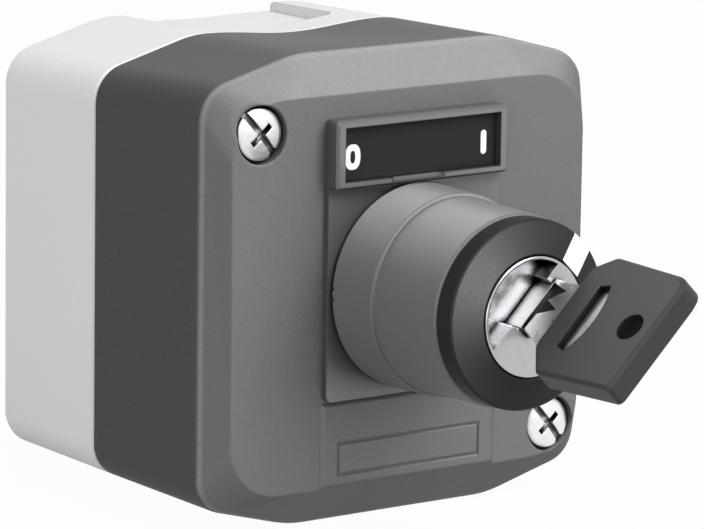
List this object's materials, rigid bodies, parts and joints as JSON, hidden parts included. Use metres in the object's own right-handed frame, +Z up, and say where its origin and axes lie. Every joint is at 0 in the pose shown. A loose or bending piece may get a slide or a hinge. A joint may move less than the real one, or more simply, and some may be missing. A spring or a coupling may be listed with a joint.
{
  "type": "key switch",
  "caption": "Wall-mounted key switch: two-part plastic box with legend plate, round head with turning black rotor, metal lock and plastic-bowed key.",
  "frame": {"origin": "centre of the wall face, on the head's axis", "axes": "+Z up, +X to the right seen from the front, +Y into the wall, the key points along -Y"},
  "size_m": [0.068, 0.1063, 0.067],
  "materials": {
    "base_plastic": "fine grained moulding, pale grey",
    "cover_plastic": "fine grained moulding, dark grey",
    "black_rubber": "soft, dull",
    "plated_steel": "bright plated",
    "legend_grey": "smooth, satin",
    "strip_black": "smooth, satin",
    "bezel_plastic": "smooth, satin",
    "zinc": "cast, dull",
    "black_plastic": "smooth, half gloss",
    "mark_white": "smooth",
    "lock_chrome": "polished ring, brushed face",
    "brass": "stamped",
    "natural_plastic": "natural white, dull",
    "dark_plastic": "dull moulding",
    "copper_alloy": "stamped",
    "spring_steel": "drawn wire",
    "key_nickel": "nickel plated, worn smooth",
    "bow_plastic": "fine grained moulding, anthracite"
  },
  "bodies": {
    "housing": {"base": "base_plastic", "cover": "cover_plastic", "joint_gasket": "black_rubber", "cover_screws": "plated_steel", "screw_seals": "black_rubber", "legend_plate": "legend_grey", "legend_strip": "strip_black", "head_seal": "black_rubber", "head_bezel": "bezel_plastic", "lock_sleeve": "zinc", "guide_plate": "dark_plastic", "fixing_collar": "zinc", "collar_screws": "plated_steel", "block_housing": "dark_plastic", "fixed_contacts": "copper_alloy", "clamp_washers": "plated_steel", "terminal_screws": "plated_steel"},
    "rotor": {"rotor": "black_plastic", "index_mark": "mark_white", "lock_barrel": "lock_chrome", "wafers": "brass", "barrel_clip": "plated_steel", "drive_cam": "natural_plastic"},
    "key": {"key_blade": "key_nickel", "key_bow": "bow_plastic"},
    "plunger": {"pushers": "natural_plastic", "block_plunger": "natural_plastic", "contact_bridge": "copper_alloy", "return_spring": "spring_steel"}
  },
  "joints": [
    {"name": "key_turn", "type": "hinge", "parent": "housing", "child": "rotor", "pos_m": [0, 0, 0], "axis": [0, -1, 0], "range_deg": [0, 90]},
    {"name": "key_withdraw", "type": "slide", "parent": "rotor", "child": "key", "axis": [0, -1, 0], "range_m": [0, 0.03]},
    {"name": "contact_travel", "type": "slide", "parent": "housing", "child": "plunger", "axis": [0, -1, 0], "range_m": [0, 0.0027], "deforming": ["return_spring"]}
  ],
  "couplings": [
    {"joint": "contact_travel", "follows": "key_turn", "m_per_rad": 0.0016552}
  ]
}
